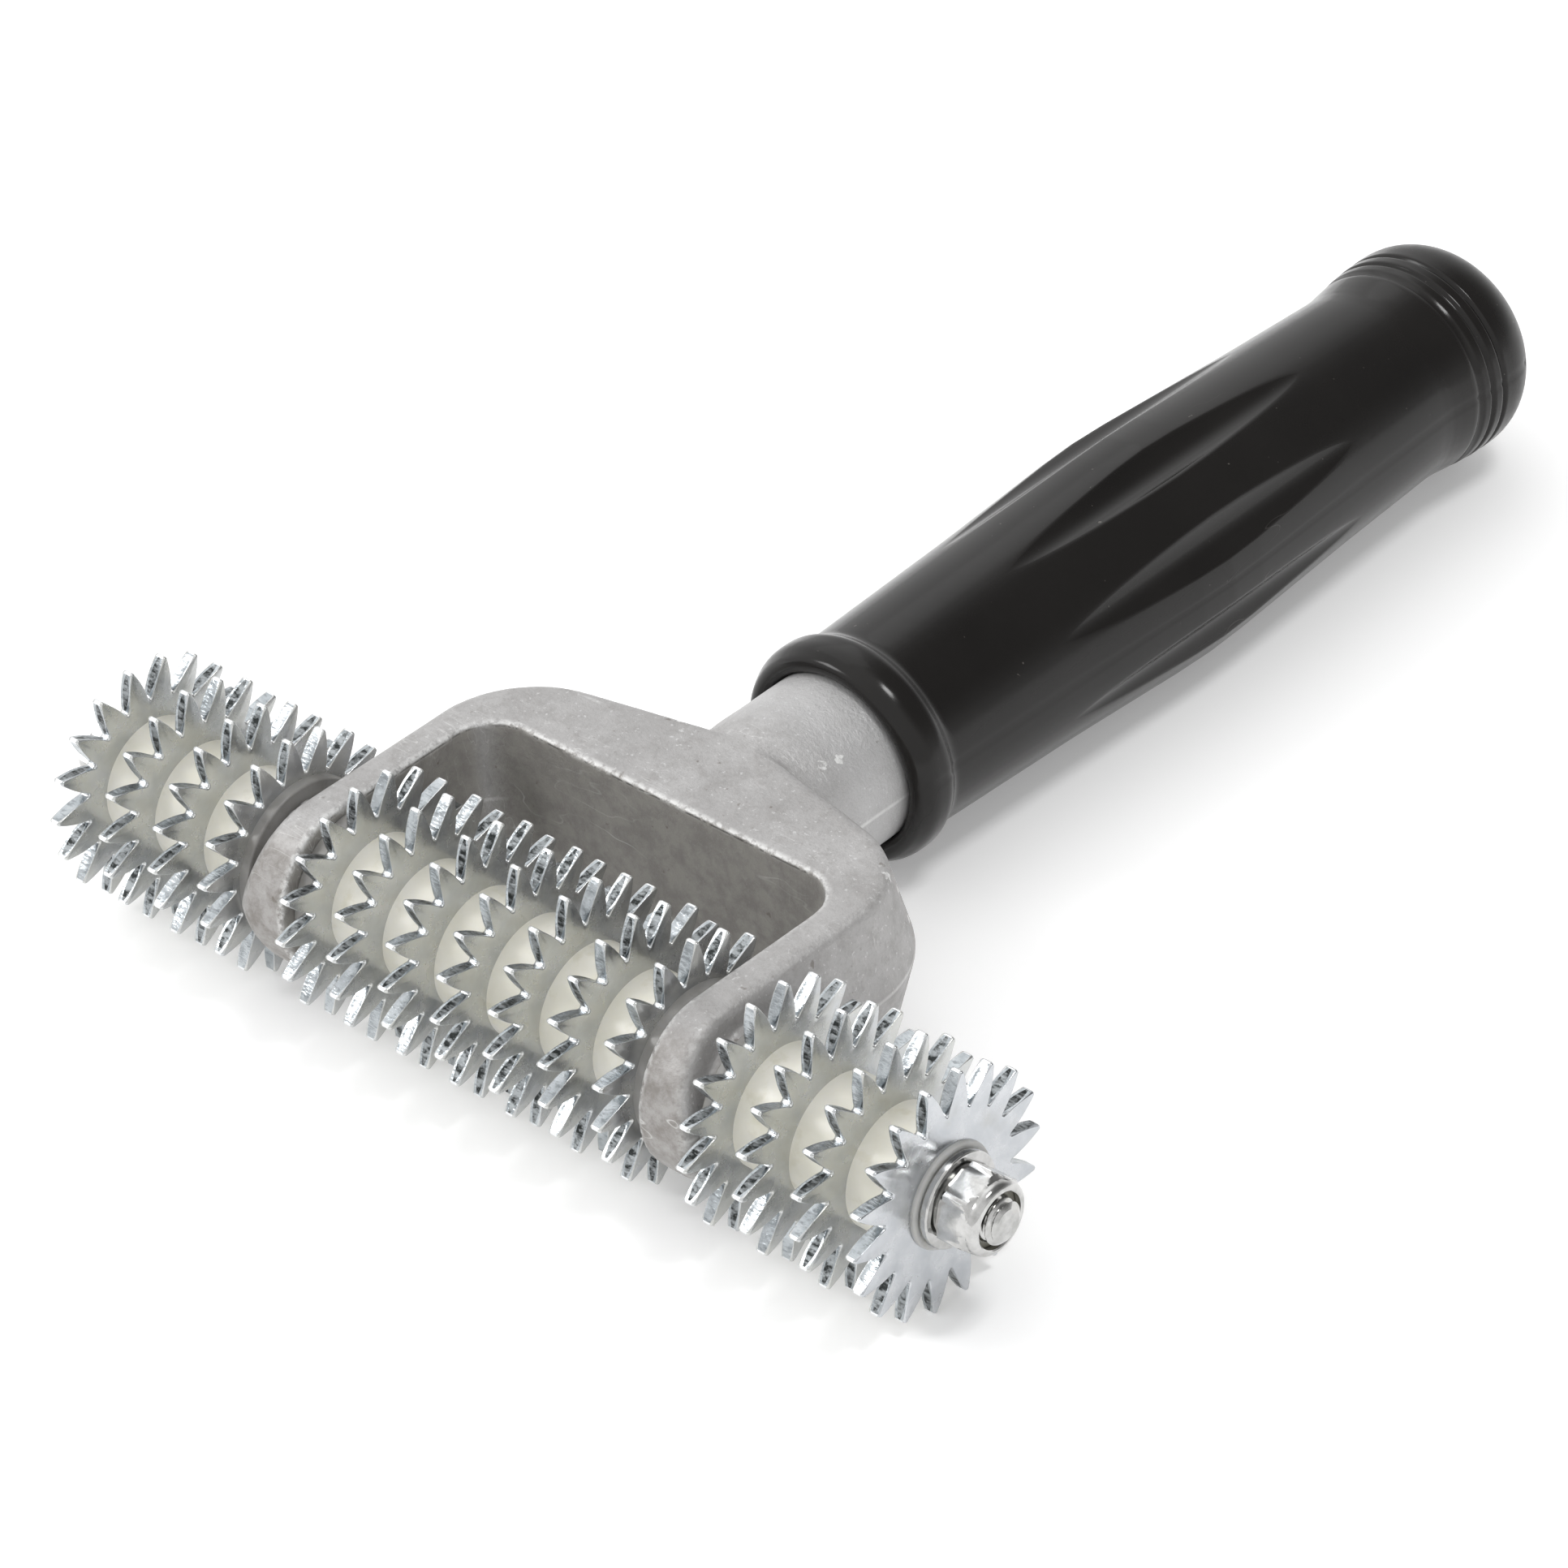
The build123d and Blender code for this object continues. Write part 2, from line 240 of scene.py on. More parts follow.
class Nodes:
    """A short way to write one procedural material."""

    def __init__(self, name):
        self.material = bpy.data.materials.new(name)
        self.material.use_nodes = True
        self.tree = self.material.node_tree
        self.shader = self.tree.nodes["Principled BSDF"]
        self.coords = self.tree.nodes.new("ShaderNodeTexCoord")
        self.geometry = self.tree.nodes.new("ShaderNodeNewGeometry")

    def link(self, a, b):
        self.tree.links.new(a, b)

    def mapped(self, scale):
        """The object's own coordinates, stretched by a scale along each axis."""
        node = self.tree.nodes.new("ShaderNodeMapping")
        node.inputs["Scale"].default_value = scale
        self.link(self.coords.outputs["Object"], node.inputs["Vector"])
        return node.outputs["Vector"]

    def noise(self, scale, detail=4, rough=0.55, vector=None):
        node = self.tree.nodes.new("ShaderNodeTexNoise")
        node.inputs["Scale"].default_value = scale
        node.inputs["Detail"].default_value = detail
        node.inputs["Roughness"].default_value = rough
        self.link(vector or self.coords.outputs["Object"], node.inputs["Vector"])
        return node.outputs["Fac"]

    def ramp(self, value, low, high, low_out=0.0, high_out=1.0):
        """Straight line from one output to the other between low and high, flat outside."""
        node = self.tree.nodes.new("ShaderNodeMapRange")
        node.inputs["From Min"].default_value = low
        node.inputs["From Max"].default_value = high
        node.inputs["To Min"].default_value = low_out
        node.inputs["To Max"].default_value = high_out
        self.link(value, node.inputs["Value"])
        return node.outputs["Result"]

    def math(self, kind, a, b):
        node = self.tree.nodes.new("ShaderNodeMath")
        node.operation = kind
        for socket, value in zip(node.inputs, (a, b)):
            if isinstance(value, (int, float)):
                socket.default_value = value
            else:
                self.link(value, socket)
        return node.outputs["Value"]

    def mix(self, factor, a, b):
        node = self.tree.nodes.new("ShaderNodeMix")
        node.data_type = "RGBA"
        self.link(factor, node.inputs["Factor"])
        for socket, value in ((node.inputs["A"], a), (node.inputs["B"], b)):
            if isinstance(value, tuple):
                socket.default_value = (*value, 1)
            else:
                self.link(value, socket)
        return node.outputs["Result"]

    def axis(self, name):
        node = self.tree.nodes.new("ShaderNodeSeparateXYZ")
        self.link(self.coords.outputs["Object"], node.inputs["Vector"])
        return node.outputs[name]

    def facing(self, way, low, high):
        """How far the surface turns towards a fixed direction."""
        node = self.tree.nodes.new("ShaderNodeVectorMath")
        node.operation = "DOT_PRODUCT"
        node.inputs[1].default_value = way
        self.link(self.geometry.outputs["Normal"], node.inputs[0])
        return self.ramp(node.outputs["Value"], low, high)

    def near(self, axis, place, inside, outside):
        """One on a thin plane across the given axis, fading to nothing beside it."""
        off = self.math("ABSOLUTE", self.math("SUBTRACT", self.axis(axis), place), 0)
        return self.ramp(off, inside, outside, 1, 0)

    def scratches(self, scale, stretch, sharp=0.03):
        """Thin lines: the ridge of a noise that is stretched one way."""
        fac = self.noise(scale, 2, 0.5, self.mapped(stretch))
        off = self.math("ABSOLUTE", self.math("SUBTRACT", fac, 0.5), 0)
        return self.ramp(off, 0, sharp, 1, 0)

    def bump(self, height, strength, distance, chain=None):
        node = self.tree.nodes.new("ShaderNodeBump")
        node.inputs["Strength"].default_value = strength
        node.inputs["Distance"].default_value = distance
        self.link(height, node.inputs["Height"])
        if chain:
            self.link(chain, node.inputs["Normal"])
        return node.outputs["Normal"]

    def finish(self, color, roughness, normal, metallic=None):
        """Joins the results to the shader; metallic is left alone where it is already linked."""
        if metallic is not None:
            self.shader.inputs["Metallic"].default_value = metallic
        self.link(color, self.shader.inputs["Base Color"])
        self.link(roughness, self.shader.inputs["Roughness"])
        self.link(normal, self.shader.inputs["Normal"])
        return self.material


def cast_aluminium():
    """Tumbled casting: mottled grey, painted shade in the window, paler towards the neck as
    painted light, bright along edges from wear and as a painted highlight.
    """
    m = Nodes("cast_aluminium")
    broad = m.noise(70, 5, 0.6)
    mottle = m.noise(330, 6, 0.72)
    grain = m.noise(2300, 3, 0.6)
    along = m.axis("Y")
    color = m.mix(m.ramp(broad, 0.35, 0.65), (0.37, 0.362, 0.358), (0.47, 0.463, 0.46))
    color = m.mix(m.ramp(mottle, 0.48, 0.68, 0, 0.55), color, (0.30, 0.288, 0.28))
    color = m.mix(m.ramp(grain, 0.5, 0.75, 0, 0.5), color, (0.32, 0.31, 0.305))
    # painted light: the casting is paler towards the neck, for the brighter light it catches there
    color = m.mix(m.ramp(along, *NECK_BAND, 0, 0.6), color, (0.54, 0.538, 0.54))
    flecks = m.ramp(m.noise(1500, 2, 0.6), 0.64, 0.72, 0, 0.6)
    color = m.mix(flecks, color, (0.66, 0.66, 0.66))
    # a darker, mottled tone on the arms' noses
    nose = m.math("MULTIPLY", m.ramp(along, *NOSE_BAND), m.facing((0, -1, 0), 0.35, 0.85))
    nose_tone = m.mix(m.ramp(mottle, 0.4, 0.62), (0.36, 0.348, 0.338), (0.24, 0.225, 0.21))
    color = m.mix(nose, color, nose_tone)
    # painted shade: the window's rear wall and the left arm's inner face are painted darker and
    # mottled, for the shade they sit in
    rear = m.math("MULTIPLY", m.facing((0, -1, 0), 0.55, 0.9), m.ramp(along, *WINDOW_BAND))
    inner = m.math("MULTIPLY", m.facing((1, 0, 0), 0.8, 0.95), m.ramp(m.axis("X"), *LEFT_ARM_BAND))
    painted_shade = m.math("MAXIMUM", rear, inner)
    painted_shade = m.math("MULTIPLY", painted_shade, m.ramp(mottle, 0.3, 0.62, 1, 0.72))
    darker_tone = m.mix(m.ramp(mottle, 0.42, 0.6), (0.36, 0.345, 0.32), (0.27, 0.255, 0.235))
    color = m.mix(painted_shade, color, darker_tone)
    spots = m.ramp(m.noise(620, 2, 0.5), 0.7, 0.76, 0, 0.6)
    color = m.mix(spots, color, (0.15, 0.13, 0.11))
    # bright along sharp edges: wear, and a painted highlight
    edge_wear_and_highlight = m.ramp(m.geometry.outputs["Pointiness"], 0.515, 0.55)
    edge_wear_and_highlight = m.math("MULTIPLY", edge_wear_and_highlight, m.ramp(m.noise(900, 3, 0.7), 0.4, 0.54))
    color = m.mix(edge_wear_and_highlight, color, (0.78, 0.78, 0.77))
    # a dark line below the window's rim, only on the window's rear wall and the left arm's inner
    # face
    rim_line = m.near("Z", FORK_TOP - RIM_LINE_DEPTH, 0.05 * MM, 0.22 * MM)
    rim_line = m.math("MULTIPLY", rim_line, m.ramp(m.noise(450, 3, 0.7), 0.46, 0.54, 0, 0.75))
    rim_line = m.math("MULTIPLY", rim_line, m.math("MAXIMUM", rear, inner))
    color = m.mix(rim_line, color, (0.06, 0.055, 0.05))
    lines = m.scratches(60, (1, 9, 3), 0.008)
    lines = m.math("MULTIPLY", lines, m.ramp(broad, 0.5, 0.62, 0, 0.6))
    color = m.mix(lines, color, (0.70, 0.70, 0.69))
    parting = m.near("Z", AXLE.z, 0.1 * MM, 0.4 * MM)
    parting = m.math("MULTIPLY", parting, m.ramp(broad, 0.4, 0.55, 0.3, 0.8))
    # the parting line is left off where the shade is painted and on the arms' noses
    parting_hidden = m.math("MAXIMUM", m.math("MAXIMUM", rear, inner), nose)
    parting = m.math("MULTIPLY", parting, m.math("SUBTRACT", 1, parting_hidden))
    color = m.mix(parting, color, (0.72, 0.72, 0.71))
    rough = m.ramp(mottle, 0.3, 0.7, 0.42, 0.60)
    normal = m.bump(grain, 0.4, 0.00016)
    normal = m.bump(mottle, 0.55, 0.0005, normal)
    return m.finish(color, rough, normal, 0.4)


def grip_plastic():
    """Glossy black moulding with a few scuffs and specks."""
    m = Nodes("grip_plastic")
    broad = m.noise(35, 3, 0.5)
    fine = m.noise(700, 4, 0.6)
    color = m.mix(m.ramp(broad, 0.3, 0.7), (0.009, 0.0082, 0.0077), (0.014, 0.0128, 0.012))
    dust = m.ramp(m.noise(1100, 1, 0.4), 0.79, 0.82, 0, 0.6)
    color = m.mix(dust, color, (0.14, 0.13, 0.12))
    lines = m.scratches(26, (5, 1, 5), 0.0016)
    lines = m.math("MULTIPLY", lines, m.ramp(broad, 0.6, 0.64, 0, 0.5))
    color = m.mix(lines, color, (0.09, 0.085, 0.08))
    rough = m.ramp(fine, 0.3, 0.7, 0.13, 0.2)
    rough = m.math("ADD", rough, m.ramp(m.axis("Y"), *DOME_BAND, 0, 0.14))
    normal = m.bump(fine, 0.04, 0.0001)
    normal = m.bump(lines, -0.2, 0.0001, normal)
    m.shader.inputs["Specular IOR Level"].default_value = 0.28
    return m.finish(color, rough, normal)


def zinc_face():
    """Flat faces of the wheels: dull blue-white plate, a little cloudy, with a painted yellowish
    reflection of the cream bushes.
    """
    m = Nodes("zinc_face")
    mottle = m.noise(320, 5, 0.6)
    fine = m.noise(1900, 3, 0.6)
    color = m.mix(m.ramp(mottle, 0.35, 0.65), (0.50, 0.52, 0.545), (0.61, 0.625, 0.645))
    stain = m.ramp(m.noise(150, 3, 0.5), 0.6, 0.75, 0, 0.4)
    color = m.mix(stain, color, (0.42, 0.42, 0.39))
    # painted reflection: the faces between wheels, not the last wheel's outer face, take a
    # yellowish tint and less metal, for light bounced off the cream bushes
    painted_bounce = m.ramp(m.noise(240, 4, 0.6), 0.35, 0.6, 0.1, 0.5)
    painted_bounce = m.math("MULTIPLY", painted_bounce, m.ramp(m.axis("X"), LAST_WHEEL_X, LAST_WHEEL_X - HALF_THICK))
    color = m.mix(painted_bounce, color, (0.64, 0.635, 0.575))
    rough = m.ramp(mottle, 0.3, 0.7, 0.18, 0.32)
    normal = m.bump(fine, 0.1, 0.0001)
    m.link(m.ramp(painted_bounce, 0, 1, 1, 0.6), m.shader.inputs["Metallic"])
    return m.finish(color, rough, normal)


def zinc_flank():
    """Smooth sheared part of a tooth's edge, plated and glossy."""
    m = Nodes("zinc_flank")
    mottle = m.noise(420, 4, 0.6)
    fine = m.noise(1700, 3, 0.6, m.mapped((0.4, 1, 1)))
    color = m.mix(m.ramp(mottle, 0.35, 0.65), (0.34, 0.368, 0.385), (0.50, 0.53, 0.55))
    color = m.mix(m.ramp(fine, 0.52, 0.68, 0, 0.6), color, (0.15, 0.165, 0.175))
    rough = m.ramp(mottle, 0.3, 0.7, 0.16, 0.28)
    normal = m.bump(fine, 0.3, 0.0003)
    return m.finish(color, rough, normal, 1.0)


def zinc_tip():
    """Tips and valleys, polished by use and by tumbling."""
    m = Nodes("zinc_tip")
    mottle = m.noise(600, 3, 0.6)
    color = m.mix(m.ramp(mottle, 0.35, 0.65), (0.80, 0.82, 0.84), (0.90, 0.91, 0.92))
    rough = m.ramp(mottle, 0.3, 0.7, 0.2, 0.3)
    return m.finish(color, rough, m.bump(mottle, 0.05, 0.0001), 1.0)


def zinc_torn_and_shaded():
    """Middle of a sheared edge where the metal broke away: ragged, and painted dark as shade for
    the dark reflection such edges show.
    """
    m = Nodes("zinc_torn_and_shaded")
    tear = m.noise(1100, 4, 0.7, m.mapped((0.5, 1, 1)))
    color = m.mix(m.ramp(tear, 0.42, 0.58), (0.03, 0.033, 0.033), (0.33, 0.35, 0.36))
    rough = m.ramp(tear, 0.3, 0.7, 0.32, 0.5)
    return m.finish(color, rough, m.bump(tear, 0.8, 0.0004), 1.0)


def bright_zinc():
    """Bolt, nut and washers: bright plate with a few dull stains."""
    m = Nodes("bright_zinc")
    mottle = m.noise(500, 4, 0.6)
    fine = m.noise(2500, 2, 0.5)
    color = m.mix(m.ramp(mottle, 0.4, 0.65), (0.58, 0.578, 0.57), (0.44, 0.44, 0.43))
    stain = m.ramp(m.noise(260, 3, 0.5), 0.62, 0.75, 0, 0.4)
    color = m.mix(stain, color, (0.42, 0.40, 0.35))
    rough = m.ramp(mottle, 0.3, 0.7, 0.10, 0.20)
    normal = m.bump(fine, 0.06, 0.0001)
    return m.finish(color, rough, normal, 1.0)


def nylon(name, light, pale, darker_tone):
    """Satin nylon between two shades, with a third in blotches."""
    m = Nodes(name)
    broad = m.noise(110, 4, 0.6)
    fine = m.noise(1200, 3, 0.6)
    color = m.mix(m.ramp(broad, 0.35, 0.65), light, pale)
    stain = m.ramp(m.noise(330, 4, 0.6), 0.58, 0.72, 0, 0.35)
    color = m.mix(stain, color, darker_tone)
    rough = m.ramp(fine, 0.3, 0.7, 0.32, 0.44)
    normal = m.bump(fine, 0.08, 0.0001)
    material = m.finish(color, rough, normal)
    m.shader.inputs["Subsurface Weight"].default_value = 0.3
    m.shader.inputs["Subsurface Radius"].default_value = (0.002, 0.0018, 0.0012)
    return material


# ---- star wheels ----

def tooth_outline():
    """One tooth from valley to valley, as (along, out) points about its own middle line."""
    half = []
    tip_centre = TIP_R - TIP_ROUND
    turn = math.pi / 2 - FLANK_HALF_ANGLE
    tip_steps, flank_steps, root_steps = 4, 8, 4
    for k in range(tip_steps + 1):
        a = turn * k / tip_steps
        half.append((TIP_ROUND * math.sin(a), tip_centre + TIP_ROUND * math.cos(a)))
    side = math.sin(TOOTH_STEP / 2)
    up = math.cos(TOOTH_STEP / 2)
    valley = Vector(((ROOT_R + ROOT_ROUND) * side, (ROOT_R + ROOT_ROUND) * up))
    normal = Vector((math.cos(FLANK_HALF_ANGLE), math.sin(FLANK_HALF_ANGLE)))
    start = Vector(half[-1])
    flank_end = valley - ROOT_ROUND * normal
    for k in range(1, flank_steps):
        t = k / flank_steps
        bulge = FLANK_BULGE * math.sin(math.pi * t)
        half.append(tuple(start.lerp(flank_end, t) + normal * bulge))
    sweep = math.pi / 2 - FLANK_HALF_ANGLE - TOOTH_STEP / 2
    for k in range(root_steps):
        a = math.pi + FLANK_HALF_ANGLE + sweep * k / root_steps
        half.append((valley.x + ROOT_ROUND * math.cos(a), valley.y + ROOT_ROUND * math.sin(a)))
    left = [(-u, v) for u, v in reversed(half[1:])]
    return left + half + [(ROOT_R * side, ROOT_R * up)]


def phase_of(node, reach, count):
    """Angle of one of count even corners, read from the node's outermost points."""
    total = 0j
    for v in frame["nodes"][node].data.vertices:
        y, z = v.co.y - AXLE.y, v.co.z - AXLE.z
        if math.hypot(y, z) > reach:
            a = math.atan2(z, y) * count
            total += complex(math.cos(a), math.sin(a))
    return math.atan2(total.imag, total.real) / count


def star_ring(phase):
    """The wheel's outline about the axle, with each point's outward normal."""
    # a tooth is drawn clockwise and the teeth follow each other the other way
    tooth = list(reversed(tooth_outline()))
    flat = []
    for i in range(TEETH):
        turn = phase + i * TOOTH_STEP
        for u, v in tooth:
            a = turn - math.atan2(u, v)
            r = math.hypot(u, v)
            flat.append(Vector((r * math.cos(a), r * math.sin(a))))
    normals = []
    for i, p in enumerate(flat):
        along = flat[(i + 1) % len(flat)] - flat[i - 1]
        normals.append(Vector((along.y, -along.x)).normalized())
    return flat, normals


def leaf_width(height):
    """Half width of a tooth's edge between the rolled borders, widest at mid height."""
    return HALF_THICK * (0.5 + 0.42 * math.sin(math.pi * height) ** LEAF_POWER)


def star_wheel(node, index, face_material, flank_material, torn_shaded_material, tip_material):
    """A plate whose tooth edges are leaf-shaped: a sheared strip between two rolled borders."""
    x = middle(node).x
    points, normals = star_ring(phase_of(node, TIP_R - CORNER_BAND, TEETH))
    heights = [min(max((p.length - ROOT_R) / (TIP_R - ROOT_R), 0), 1) for p in points]

    def rim(side, reach, inset):
        """Ring over the rolled edge: reach goes from the leaf's border to the face."""
        out = []
        for p, n, height in zip(points, normals, heights):
            flank = leaf_width(height)
            rolled = HALF_THICK - flank
            q = p - n * rolled * inset
            out.append((x + side * (flank + rolled * reach), AXLE.y + q.x, AXLE.z + q.y))
        return out

    def core(side):
        """Ring just inside the leaf's border, sunk a little below it."""
        out = []
        for p, n, height in zip(points, normals, heights):
            inner = leaf_width(height) * (0.1 + 0.6 * math.sin(math.pi * height) ** LEAF_POWER)
            q = p - n * CORE_SINK * math.sin(math.pi * height)
            out.append((x + side * inner, AXLE.y + q.x, AXLE.z + q.y))
        return out

    def circle(side, radius):
        """Ring on the flat face."""
        out = []
        for p in points:
            q = p.normalized() * radius
            out.append((x + side * HALF_THICK, AXLE.y + q.x, AXLE.z + q.y))
        return out

    rings = [circle(-1, BORE_R), circle(-1, FACE_R)]
    rings += [rim(-1, reach, inset) for reach, inset in reversed(EDGE_ROLL)]
    core_band = len(rings)
    rings += [core(-1), core(1)]
    rings += [rim(1, reach, inset) for reach, inset in EDGE_ROLL]
    rings += [circle(1, FACE_R), circle(1, BORE_R)]
    piece = ring_mesh(f"wheel_plate_{index:02d}", rings, True, face_material, 50)
    for material in (flank_material, torn_shaded_material, tip_material):
        piece.data.materials.append(material)
    finish_edges(piece.data, heights, core_band, index)
    return piece


def finish_edges(mesh, heights, core_band, seed):
    """Gives the teeth's edges their finishes; some sides are torn along the middle and painted
    dark as shade.
    """
    flank, torn, tip = 1, 2, 3
    count = len(heights)
    rng = random.Random(seed)
    side_is_torn_shaded = [rng.random() < TORN_SHADED_SHARE for _ in range(2 * TEETH)]
    for polygon in mesh.polygons:
        band, k = divmod(polygon.index, count)
        if abs(band - core_band) > 1:
            continue
        height = (heights[k] + heights[(k + 1) % count]) / 2
        if not POLISHED_BELOW < height < POLISHED_ABOVE:
            polygon.material_index = tip
        elif band == core_band and side_is_torn_shaded[k * 2 * TEETH // count]:
            polygon.material_index = torn
        else:
            polygon.material_index = flank


# ---- bolt and nut ----

def hex_radius(angle, limit):
    """Distance to the side of a hexagon with a corner at zero, never more than the limit."""
    sixth = math.pi / 3
    off = (angle % sixth) - sixth / 2
    return min(HEX_FLAT_R / math.cos(off), limit)


def hex_rings(profile, phase):
    """Rings along x; each profile entry is (x, turned limit, whether the hexagon cuts it)."""
    rings = []
    for x, limit, is_hex in profile:
        radius = limit
        if is_hex:
            def radius(a, r=limit):
                return hex_radius(a - phase, r)
        rings.append(around_x(x, radius, HEX_STEPS, phase))
    return rings


def lock_nut(material):
    """Hexagon nut with a collar whose rim is rolled in over the nylon ring."""
    x0, x1 = NUT_START, NUT_END
    hex_start = x0 + NUT_FOOT
    hex_end = x0 + NUT_HEX_HEIGHT
    recess_x = span("lock_nut_insert", 0)[0]
    run = NUT_CHAMFER
    lip_r = NUT_RECESS_R - NUT_LIP
    foot_and_hexagon = [
        (x0, AXLE_R, False),
        (x0, HEX_FLAT_R - run, False),
        (hex_start - 0.1 * MM, HEX_FLAT_R - 0.3 * MM, False),
        (hex_start, HEX_FLAT_R + 0.2 * MM, True),
        (hex_start + run, HEX_CORNER_R, True),
        (hex_end - 2 * run, HEX_CORNER_R, True),
        (hex_end - run, HEX_FLAT_R + 0.5 * MM, True),
        (hex_end - 0.1 * MM, HEX_FLAT_R + 0.12 * MM, True),
        (hex_end + 0.1 * MM, HEX_FLAT_R - 0.05 * MM, False),
    ]
    rolled_rim = []
    steps = 6
    for k in range(steps + 1):
        a = math.pi / 2 * k / steps
        x = x1 - RIM_ROLL_R + RIM_ROLL_R * math.sin(a)
        rolled_rim.append((x, NUT_RECESS_R + 0.05 * MM + RIM_ROLL_R * math.cos(a), False))
    lip_and_recess = [
        (x1 - NUT_LIP, lip_r, False),
        (x1 - 0.45 * MM, lip_r, False),
        (x1 - 0.6 * MM, NUT_RECESS_R, False),
        (recess_x, NUT_RECESS_R, False),
        (recess_x, AXLE_R, False),
    ]
    profile = foot_and_hexagon + rolled_rim + lip_and_recess
    phase = phase_of("lock_nut", HEX_CORNER_R - CORNER_BAND, 6)
    return ring_mesh("lock_nut_body", hex_rings(profile, phase), True, material, 28)


def thread_radius(x, angle):
    """M6 thread at the far end, a plain shank before it, and a rounded-off end."""
    turns = x / THREAD_PITCH - angle / (2 * math.pi)
    wave = abs((turns % 1) * 2 - 1)
    fade = min(max((x - BOLT_END + THREAD_LENGTH) / (2 * THREAD_PITCH), 0), 1)
    depth = THREAD_DEPTH * fade * (0.5 - 0.5 * math.cos(math.pi * wave))
    past = max(LEAD_IN - (BOLT_END - x), 0)
    return min(AXLE_R - depth, AXLE_R - past * 0.7 - past * past / LEAD_IN * 0.5)


def axle_bolt(material):
    """Hexagon head, plain shank and rolled thread, as one closed skin."""
    x0, x1 = BOLT_START, HEAD_END
    head = [
        (x0, 0.4 * MM, False),
        (x0, HEX_FLAT_R - HEAD_CHAMFER, False),
        (x0 + 0.12 * MM, HEX_FLAT_R - 0.15 * MM, True),
        (x0 + HEAD_CHAMFER, HEX_CORNER_R, True),
        (x1 - 0.1 * MM, HEX_CORNER_R, True),
        (x1, HEX_CORNER_R - 0.1 * MM, True),
        (x1, AXLE_R, False),
    ]
    phase = phase_of("axle_bolt", HEX_CORNER_R - CORNER_BAND, 6)
    rings = hex_rings(head, phase)
    thread_start = BOLT_END - THREAD_LENGTH
    steps = 200
    for k in range(steps + 1):
        x = thread_start + THREAD_LENGTH * k / steps
        rings.append(around_x(x, lambda a, at=x: thread_radius(at, a), HEX_STEPS, phase))
    rings.append(around_x(BOLT_END, AXLE_R / 2, HEX_STEPS, phase))
    return ring_mesh("axle_bolt_threaded", rings, False, material, 28)


# ---- grip ----

# all of the grip's sizes are in millimetres, and its angles are about the handle's axis
# each corner of the outline: (radius, distance from the axle, rounding)
GRIP_CORNERS = [
    (12.5, 57.0, 1.2),
    (14.6, 57.0, 1.4),
    (15.9, 59.3, 4.0),
    (15.9, 62.2, 3.0),
    (14.62, 64.4, 3.0),
    (15.6, 92.7, 300.0),
    (16.955, 119.0, 120.0),
    (15.4, 149.4, 300.0),
    (14.6, 169.8, 20.0),
    (15.64, 178.5, 36.0),
]
GRIP_INSIDE_Y = 60.0
GRIP_CAP_R = 20.0
GRIP_CAP_TOP = 193.2
GRIP_END_ROUND = 8.6
GROOVES = (175.2, 177.8, 180.2)
GROOVE_DEPTH = 0.45
GROOVE_WIDTH = 0.31
FLUTES = 8
FLUTE_CUTTER_R = 4.8
FLUTE_FLOOR_R = 15.45
GRIP_TURN = math.radians(7.0)
FLUTE_SPAN = (68.0, 168.0)
FLUTE_EDGE_ROUND = 0.03
LEAST_FLUTE_ANGLE = 0.02
LAND_STEPS = 9
FLUTE_STEPS = 9
ARC_STEP_DEG = 9
GROOVED_STRETCH = (GROOVES[0] - 1.5, GROOVES[-1] + 1)
GROOVED_STEP = 0.2
PLAIN_STEP = 0.55
SEAM_DEPTH = 0.13


def corner_arc(back, here, ahead, radius):
    """Points of the arc that rounds one corner of an outline."""
    to_back = (back - here).normalized()
    to_ahead = (ahead - here).normalized()
    half = to_back.angle(to_ahead) / 2
    centre = here + (to_back + to_ahead).normalized() * radius / math.sin(half)
    first = here + to_back * radius / math.tan(half) - centre
    last = here + to_ahead * radius / math.tan(half) - centre
    start = math.atan2(first.y, first.x)
    turn = (math.atan2(last.y, last.x) - start + math.pi) % (2 * math.pi) - math.pi
    steps = max(2, math.ceil(abs(math.degrees(turn)) / ARC_STEP_DEG))
    points = []
    for k in range(steps + 1):
        a = start + turn * k / steps
        points.append(centre + radius * Vector((math.cos(a), math.sin(a))))
    return points


def grip_outline():
    """Half section from inside the mouth to the crown, as (radius, distance) points."""
    corners = [Vector((radius, y)) for radius, y, _ in GRIP_CORNERS]
    mouth = Vector((GRIP_CORNERS[0][0], GRIP_INSIDE_Y))
    bulb_r = GRIP_CORNERS[-1][0]
    cap_centre = GRIP_CAP_TOP - GRIP_CAP_R
    round_x = bulb_r - GRIP_END_ROUND
    round_y = cap_centre + math.sqrt((GRIP_CAP_R - GRIP_END_ROUND) ** 2 - round_x ** 2)
    chain = [mouth, *corners, Vector((bulb_r, round_y))]
    points = [mouth]
    for i, (_, _, rounding) in enumerate(GRIP_CORNERS, 1):
        points += corner_arc(chain[i - 1], chain[i], chain[i + 1], rounding)
    meet = math.atan2(round_y - cap_centre, round_x)
    steps = 12
    for k in range(steps + 1):
        a = meet * k / steps
        off = GRIP_END_ROUND * Vector((math.cos(a), math.sin(a)))
        points.append(Vector((round_x, round_y)) + off)
    for k in range(1, steps):
        a = meet + (math.pi / 2 - meet) * k / steps
        points.append(Vector((GRIP_CAP_R * math.cos(a), cap_centre + GRIP_CAP_R * math.sin(a))))
    return points


